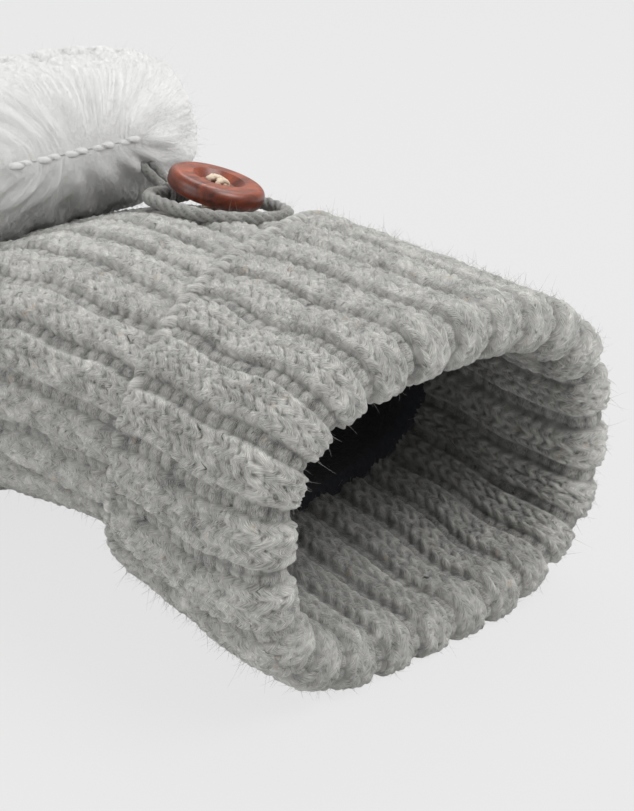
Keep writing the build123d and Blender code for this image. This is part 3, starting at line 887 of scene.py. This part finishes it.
# %% loop
SEAT_Z = 58.504       # top of the hand under the button
SEAT = np.array([BUTTON_X, BUTTON_Y, SEAT_Z])
PITCH, ROLL = math.radians(10.0), math.radians(13.0)
AXIS = np.array([
    -math.sin(PITCH),
    -math.cos(PITCH) * math.sin(ROLL),
    math.cos(PITCH) * math.cos(ROLL),
])
LOOP_MID = np.array([82.58, -20.174, 59.904])
LOOP_A, LOOP_B = 13.2, 12.8
t = np.arange(400) / 400 * 2 * np.pi
ly, lz = squircle(t, LOOP_A, LOOP_B, 2.6)[:2]
roll = math.radians(10.0)
loop_path = LOOP_MID + np.stack([ly, lz * math.cos(roll), lz * math.sin(roll)], -1)
cord_wool = spun_wool("grey_wool_cord_plied", "#5c5c5a", "#b5b4af", "#333333", "#8f7f68")
loop = chain_mesh("button_loop_cord", loop_path, 1.25, 2.6, True, swell=0.28, plies=4,
                  sides=16, step=0.25)
place(loop, cord_wool, "loop", "grey_cord", "button_loop")
turns = np.linspace(0, 5 * 2 * np.pi, 400)
WRAP_R = 1.85
tack_path = LOOP_MID + np.stack([
    LOOP_A + WRAP_R * np.cos(turns),
    np.linspace(-3, 3, 400) * math.cos(roll),
    WRAP_R * np.sin(turns),
], -1)
tack = chain_mesh("loop_tack_wraps", tack_path, 0.55, 1.5, False, swell=0.2, sides=8)
place(tack, cord_wool, "cap", "grey_cord", "loop_tack")

# %% the cord's two ends
# each runs up from the tack into the cap's tip: a curve a(1-g)^2 + 2bg(1-g) + cg^2
g = np.linspace(0, 1, 60)[:, None]
for number, apart in enumerate((-1.2, 1.2)):
    start_at = LOOP_MID + [LOOP_A, apart, 0.0]
    bend_at = LOOP_MID + [17.0, apart, 0.4]
    sewn_at = np.array([106.0, -17.5 + apart, 67.0])
    tail_path = start_at * (1 - g) ** 2 + bend_at * 2 * g * (1 - g) + sewn_at * g ** 2
    tail = chain_mesh("loop_tail_cord_%d" % number, tail_path, 1.0, 2.6, False, swell=0.28, plies=4,
                      sides=12)
    place(tail, cord_wool, "cap", "grey_cord")

# %% [markdown]
# ## The button and its thread
# The button stands off the wool on a shank of thread, and six stitches go
# through its holes and cross in its dish.  It could be one texture, but the
# crossing strands throw small shadows that the eye looks for.

# %% thread
# waxed cotton: dull, in a cream that varies along the strand
wax, tree, out = new_material("waxed_cotton_thread")
coat = add(tree, "ShaderNodeUVMap", {"uv_map": "yarn"})
ply = add(tree, "ShaderNodeTexNoise", {"Scale": 3.0, "Detail": 3.0}, {"Vector": coat.outputs["UV"]})
tone = add(tree, "ShaderNodeValToRGB", None, {"Fac": ply.outputs["Fac"]})
tone.color_ramp.elements[0].color = srgb("#a98f72")
tone.color_ramp.elements[1].color = srgb("#f1e4cf")
strand = add(tree, "ShaderNodeBsdfPrincipled", {"Roughness": 0.6, "Sheen Weight": 0.2},
             {"Base Color": tone.outputs["Color"]})
tree.links.new(strand.outputs["BSDF"], out.inputs["Surface"])

across = np.cross(AXIS, [0, 1.0, 0])
across = across / np.linalg.norm(across)
down = np.cross(AXIS, across)


def on_button(x, y, z):
    """Point at x, y on the button's face and z above its seat."""
    return SEAT + across * x + down * y + AXIS * z


turns = np.linspace(0, 4 * 2 * np.pi, 300)
COIL_R = 1.35
coil = on_button(COIL_R * np.cos(turns)[:, None], COIL_R * np.sin(turns)[:, None],
                 np.linspace(0.4, 3.0, 300)[:, None])
shank = chain_mesh("button_shank_wraps", coil, 0.5, 1.2, False, swell=0.15, sides=8)
place(shank, wax, "shank", "cream_thread", "button_shank")
SHANK_HIGH, DISC_THICK, DISH_DEEP = 3.2, 4.2, 1.5
BED = SHANK_HIGH + DISC_THICK - DISH_DEEP
# each stitch goes from one hole to another, x and y on the button in mm
stitches = [((-1.9, -1.3), (1.9, 1.5)), ((-1.8, 1.4), (1.9, -1.4)), ((-2.0, 0.2), (2.0, 0.3)),
            ((-1.5, 1.8), (-1.4, -1.8)), ((1.5, 1.7), (1.5, -1.8)), ((-1.0, -1.9), (0.6, 1.9))]
for number, ((ax, ay), (bx, by)) in enumerate(stitches):
    g = np.linspace(0, 1, 60)
    arch = 0.5 + (0.75 + 0.1 * number) * np.sin(np.pi * g) ** 0.6
    line = on_button((ax + (bx - ax) * g)[:, None], (ay + (by - ay) * g)[:, None],
                     (BED + arch - 0.4)[:, None])
    strand_piece = chain_mesh("button_stitch_%d" % number, line, 0.5, 1.1, False, swell=0.2,
                              sides=8, step=0.15)
    place(strand_piece, wax, "button", "cream_thread", "button_thread")

# %% [markdown]
# The disc is turned from hardwood, so the CAD's own disc is shown and needs
# only its finish: a red-brown stain over streaks of grain, an uneven surface
# from the same grain, and a thin coat of oil.

# %% button wood
wood, tree, out = new_material("stained_hardwood_turned_and_oiled")
where = add(tree, "ShaderNodeTexCoord")
grain_way = add(tree, "ShaderNodeMapping", {"Scale": (300.0, 70.0, 300.0), "Rotation": (0.2, 0.1, 0.5)},
                {"Vector": where.outputs["Object"]})
grain = add(tree, "ShaderNodeTexNoise",
            {"Scale": 1.6, "Detail": 6.0, "Roughness": 0.7, "Distortion": 0.6},
            {"Vector": grain_way.outputs["Vector"]})
tone = add(tree, "ShaderNodeValToRGB", None, {"Fac": grain.outputs["Fac"]})
tone.color_ramp.elements[0].position = 0.3
tone.color_ramp.elements[0].color = srgb("#40140a")
tone.color_ramp.elements[1].position = 0.72
tone.color_ramp.elements[1].color = srgb("#b4552a")
# paler on the ring where fingers rub, which is wear, and darker down the side
# and in the dish, which is painted shade.
# The stops multiply the stain, so they are plain linear shares and not colours,
# and they are picked by the distance from the button's axis, 0 to 10.1 mm.
seat_in_frame = ((SEAT + [MOUTH, 0, 0]) * MM).tolist()
off_seat = add(tree, "ShaderNodeVectorMath", {"operation": "SUBTRACT", 1: seat_in_frame},
               {0: where.outputs["Object"]})
crossed = add(tree, "ShaderNodeVectorMath", {"operation": "CROSS_PRODUCT", 1: AXIS.tolist()},
              {0: off_seat.outputs["Vector"]})
radius = add(tree, "ShaderNodeVectorMath", {"operation": "LENGTH"}, {0: crossed.outputs["Vector"]})
share = add(tree, "ShaderNodeMapRange", {"From Max": 0.0101}, {"Value": radius.outputs["Value"]})
wear_and_shade = add(tree, "ShaderNodeValToRGB", None, {"Fac": share.outputs["Result"]})
wear_and_shade.color_ramp.elements[0].position = 0.42
wear_and_shade.color_ramp.elements[0].color = (0.72, 0.66, 0.62, 1.0)
wear_and_shade.color_ramp.elements[1].position = 1.0
wear_and_shade.color_ramp.elements[1].color = (0.42, 0.34, 0.30, 1.0)
rim_stop = wear_and_shade.color_ramp.elements.new(0.62)
rim_stop.color = (1.0, 1.0, 1.0, 1.0)
edge_stop = wear_and_shade.color_ramp.elements.new(0.88)
edge_stop.color = (0.9, 0.85, 0.8, 1.0)
# the stain multiplied by the wear and the painted shade of the side and dish
stain_and_shade = add(tree, "ShaderNodeMix", {"data_type": "RGBA", "blend_type": "MULTIPLY", "Factor": 1.0},
              {"A": tone.outputs["Color"], "B": wear_and_shade.outputs["Color"]})
pores = add(tree, "ShaderNodeBump", {"Strength": 0.35, "Distance": 0.0002},
            {"Height": grain.outputs["Fac"]})
oiled = add(tree, "ShaderNodeBsdfPrincipled",
            {"Roughness": 0.42, "Coat Weight": 0.35, "Coat Roughness": 0.3},
            {"Base Color": stain_and_shade.outputs["Result"], "Normal": pores.outputs["Normal"]})
tree.links.new(oiled.outputs["BSDF"], out.inputs["Surface"])
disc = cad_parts["button_disc"]
disc.data.materials.clear()
disc.data.materials.append(wood)

# %% [markdown]
# ## The web
# The hand is closed between the stubs by a web, knitted as a collar round
# each of them.  A collar is a ring from the stub's edge out to its share of
# the hand's end, with ridges where its rows of stitches lie.

# %% collars round the stubs
wall_a, wall_b, wall_c = HALF_A[-1], HALF_B[-1], CENTRE[-1]
WEB_FACE, WEB_BACK, WEB_ROWS = 156.6, 154.9, 26


def reach_of_cell(t, centre_y, half_cell):
    """Distance along angle t from a stub's middle to its cell's side or the hand's outline,
    found by halving an interval 24 times."""
    across_y, up_z = np.cos(t), np.sin(t)
    low, high = np.zeros_like(t), np.full_like(t, 90.0)
    for _ in range(24):
        mid = (low + high) / 2
        y, z = centre_y + mid * across_y, STUB_Z + mid * up_z
        out_of = np.abs(y / wall_a) ** SQUARE + np.abs((z - wall_c) / wall_b) ** SQUARE > 1
        out_of = out_of | (np.abs(mid * across_y) > half_cell)
        high = np.where(out_of, mid, high)
        low = np.where(out_of, low, mid)
    return low


for finger, (centre_y, half_a) in STUBS.items():
    t = np.linspace(0, 2 * np.pi, 241)[:-1][None, :]
    far = np.maximum(reach_of_cell(t, centre_y, half_a + 0.4), 0)
    near = 1 / np.hypot(np.cos(t) / (half_a - 1.2), np.sin(t) / (STUB_B - 1.2))
    w = np.linspace(0, 1, WEB_ROWS)[:, None]
    r = near + (np.maximum(far, near + 0.3) - near) * w
    relief = 0.5 * half_round(2 * np.mod(w * 4, 1.0) - 1) * np.abs(np.sin(t * 22)) ** 0.6
    x = WEB_FACE + relief + 0.9 * np.sin(np.pi * w)
    y, z = centre_y + r * np.cos(t), STUB_Z + r * np.sin(t)
    front = np.stack([x, y, z], -1)
    rear = front[::-(WEB_ROWS - 1)] * [0, 1, 1] + [WEB_BACK, 0, 0]
    flat = np.stack([w * 9 + 0 * t, t * 9 + 0 * w], -1)
    # painted shade: darker in the grooves between the collar's ridges, and the rear rows fully dark
    collar = grid_mesh("finger_web_knit_" + finger, np.concatenate([front, rear], 0), ring_v=True,
                       uv=np.concatenate([flat, flat[-1:], flat[:1]], 0),
                       shade=np.concatenate([0.3 + relief, 0 * relief[:2]], 0))
    place(collar, ragg_wool, "hand", "ragg_wool", "finger_web")

# %% [markdown]
# ## Loose fibres
# What makes wool look like wool is the hair that stands off the yarn.  Hair
# curves could do it, but the finished piece has to be plain mesh, so each
# hair is a thin three-sided prism that bends over and tapers.

# %% loose fibres
HAIR_R = 0.034


def loose_fibres(name, points, normals, count, longest, material, body, slot, seed):
    """Hairs p(s) = root + way*L*s + bend*L*s^2 with radius r*(1 - 0.8*s), rooted at random
    on a grid of points and kept above the table."""
    pick = np.random.default_rng(seed)
    flat_p, flat_n = points.reshape(-1, 3), normals.reshape(-1, 3)
    chosen = pick.integers(0, len(flat_p), count)
    root, normal = flat_p[chosen], flat_n[chosen]
    wander = pick.normal(0, 1, (count, 3))
    way = normal * pick.uniform(0.15, 0.75, (count, 1)) + wander * 0.45
    way = way / np.linalg.norm(way, axis=1, keepdims=True)
    bend = pick.normal(0, 0.55, (count, 3))
    length = longest * pick.uniform(0.25, 1.0, (count, 1)) ** 1.6
    side = np.cross(way, [0.2, 0.5, 0.8])
    side = side / np.linalg.norm(side, axis=1, keepdims=True)
    rise = np.cross(way, side)
    steps = np.array([0.0, 0.35, 0.7, 1.0])[None, :, None, None]
    line = root[:, None, None] - 0.2 * normal[:, None, None]
    line = line + (way * length)[:, None, None] * steps + (bend * length)[:, None, None] * steps ** 2
    turn = (np.arange(3) / 3 * 2 * np.pi)[None, None, :, None]
    ring = side[:, None, None] * np.cos(turn) + rise[:, None, None] * np.sin(turn)
    thick = HAIR_R * (1 - 0.8 * steps)
    corner = line + ring * thick
    corner[..., 2] = np.maximum(corner[..., 2], 0.05)
    base = (np.arange(count) * 12)[:, None, None, None]
    level = (np.arange(3) * 3)[None, :, None, None]
    here = np.arange(3)[None, None, :, None]
    ahead = (np.arange(3)[None, None, :, None] + 1) % 3
    quads = np.concatenate([base + level + here, base + level + ahead,
                            base + level + 3 + ahead, base + level + 3 + here], -1).reshape(-1, 4)
    piece = write_mesh(name, corner.reshape(-1, 3), quads)
    return place(piece, material, body, slot)


def plain_fibre(name, colour):
    """Single wool hair: too thin to show more than a matt colour."""
    material, tree, out = new_material(name)
    hair = add(tree, "ShaderNodeBsdfPrincipled", {"Roughness": 0.7, "Base Color": srgb(colour)})
    tree.links.new(hair.outputs["BSDF"], out.inputs["Surface"])
    return material


grey_hair = plain_fibre("grey_wool_loose_hair", "#a9a8a3")
dark_hair = plain_fibre("dark_wool_loose_hair", "#4a4a48")
white_hair = plain_fibre("white_wool_loose_hair", "#e4e4e2")
loose_fibres("cuff_loose_fibres", outside, cuff_facing, 10500, 2.6, grey_hair, "hand", "ragg_wool", 3)
loose_fibres("cuff_dark_fibres", outside, cuff_facing, 4000, 1.9, dark_hair, "hand", "ragg_wool", 8)
loose_fibres("edge_loose_fibres", edge_path, edge_normal, 2500, 2.4, grey_hair, "hand", "ragg_wool", 9)
loose_fibres("loop_loose_fibres", loop_path, 0 * loop_path + [0, 0, 1.0], 1200, 2.4, grey_hair,
             "loop", "grey_cord", 10)
loose_fibres("wrist_loose_fibres", inside, facing_in, 4000, 2.0, grey_hair, "hand", "ragg_wool", 4)
loose_fibres("hand_loose_fibres", hand_face, hand_facing, 9000, 2.6, grey_hair, "hand", "ragg_wool", 5)
loose_fibres("cap_loose_fibres", cap_face, lean_way, 9000, 3.0, white_hair, "cap", "pale_wool", 6)

# %% [markdown]
# ## Table and light
# A pale sheet of paper, three broad soft lamps and an even sky.  The lamps
# stand high behind, high in front and on the thumb's side, so light rakes
# over the ribs and comes only partly into the mouth.  Where the camera sees
# the paper it is nearly all its own glow, which keeps it one even tone, and
# the small rest of it takes a faint shadow.

# %% stage
floor_mesh = bpy.data.meshes.new("table")
floor_mesh.from_pydata([(-4, -4, 0), (4, -4, 0), (4, 4, 0), (-4, 4, 0)], [], [(0, 1, 2, 3)])
table = bpy.data.objects.new("table", floor_mesh)
bpy.context.collection.objects.link(table)
paper, tree, out = new_material("matt_white_paper")
sheet = add(tree, "ShaderNodeBsdfDiffuse", {"Color": srgb("#e9e9e9")})
glow = add(tree, "ShaderNodeEmission", {"Color": srgb("#e7e7e7"), "Strength": 1.0})
path = add(tree, "ShaderNodeLightPath")
seen = add(tree, "ShaderNodeMath", {"operation": "ADD"},
           {0: path.outputs["Is Camera Ray"], 1: path.outputs["Is Glossy Ray"]})
seen_or_through = add(tree, "ShaderNodeMath", {"operation": "ADD"},
                      {0: seen.outputs["Value"], 1: path.outputs["Is Transmission Ray"]})
blend_in = add(tree, "ShaderNodeMath", {"operation": "MULTIPLY", 1: 0.93},
               {0: seen_or_through.outputs["Value"]})
mixed = add(tree, "ShaderNodeMixShader", None,
            {"Fac": blend_in.outputs["Value"], 1: sheet.outputs["BSDF"], 2: glow.outputs["Emission"]})
tree.links.new(mixed.outputs["Shader"], out.inputs["Surface"])
floor_mesh.materials.append(paper)

world = bpy.data.worlds.new("soft_room")
bpy.context.scene.world = world
world.use_nodes = True
tree = world.node_tree
tree.nodes.clear()
sky = add(tree, "ShaderNodeBackground", {"Color": (1.0, 1.0, 1.0, 1.0), "Strength": 0.46})
out = tree.nodes.new("ShaderNodeOutputWorld")
tree.links.new(sky.outputs["Background"], out.inputs["Surface"])


def lamp(name, place_at, aim, size, watts):
    """A square area lamp that faces a point."""
    data = bpy.data.lights.new(name, "AREA")
    data.size = size
    data.energy = watts
    obj = bpy.data.objects.new(name, data)
    bpy.context.collection.objects.link(obj)
    way = Vector(aim) - Vector(place_at)
    obj.location = place_at
    obj.rotation_euler = way.to_track_quat("-Z", "Y").to_euler()
    return obj


lamp("high_back", (0.35, -0.45, 0.85), (0.03, 0, 0.03), 0.7, 5.0)
lamp("high_front", (-0.5, -0.3, 0.85), (0.0, 0, 0.03), 0.6, 7.5)
lamp("thumb_side", (0.35, 0.9, 0.4), (0.03, 0, 0.03), 0.7, 3.6)
scene = bpy.context.scene
scene.view_settings.view_transform = "Standard"
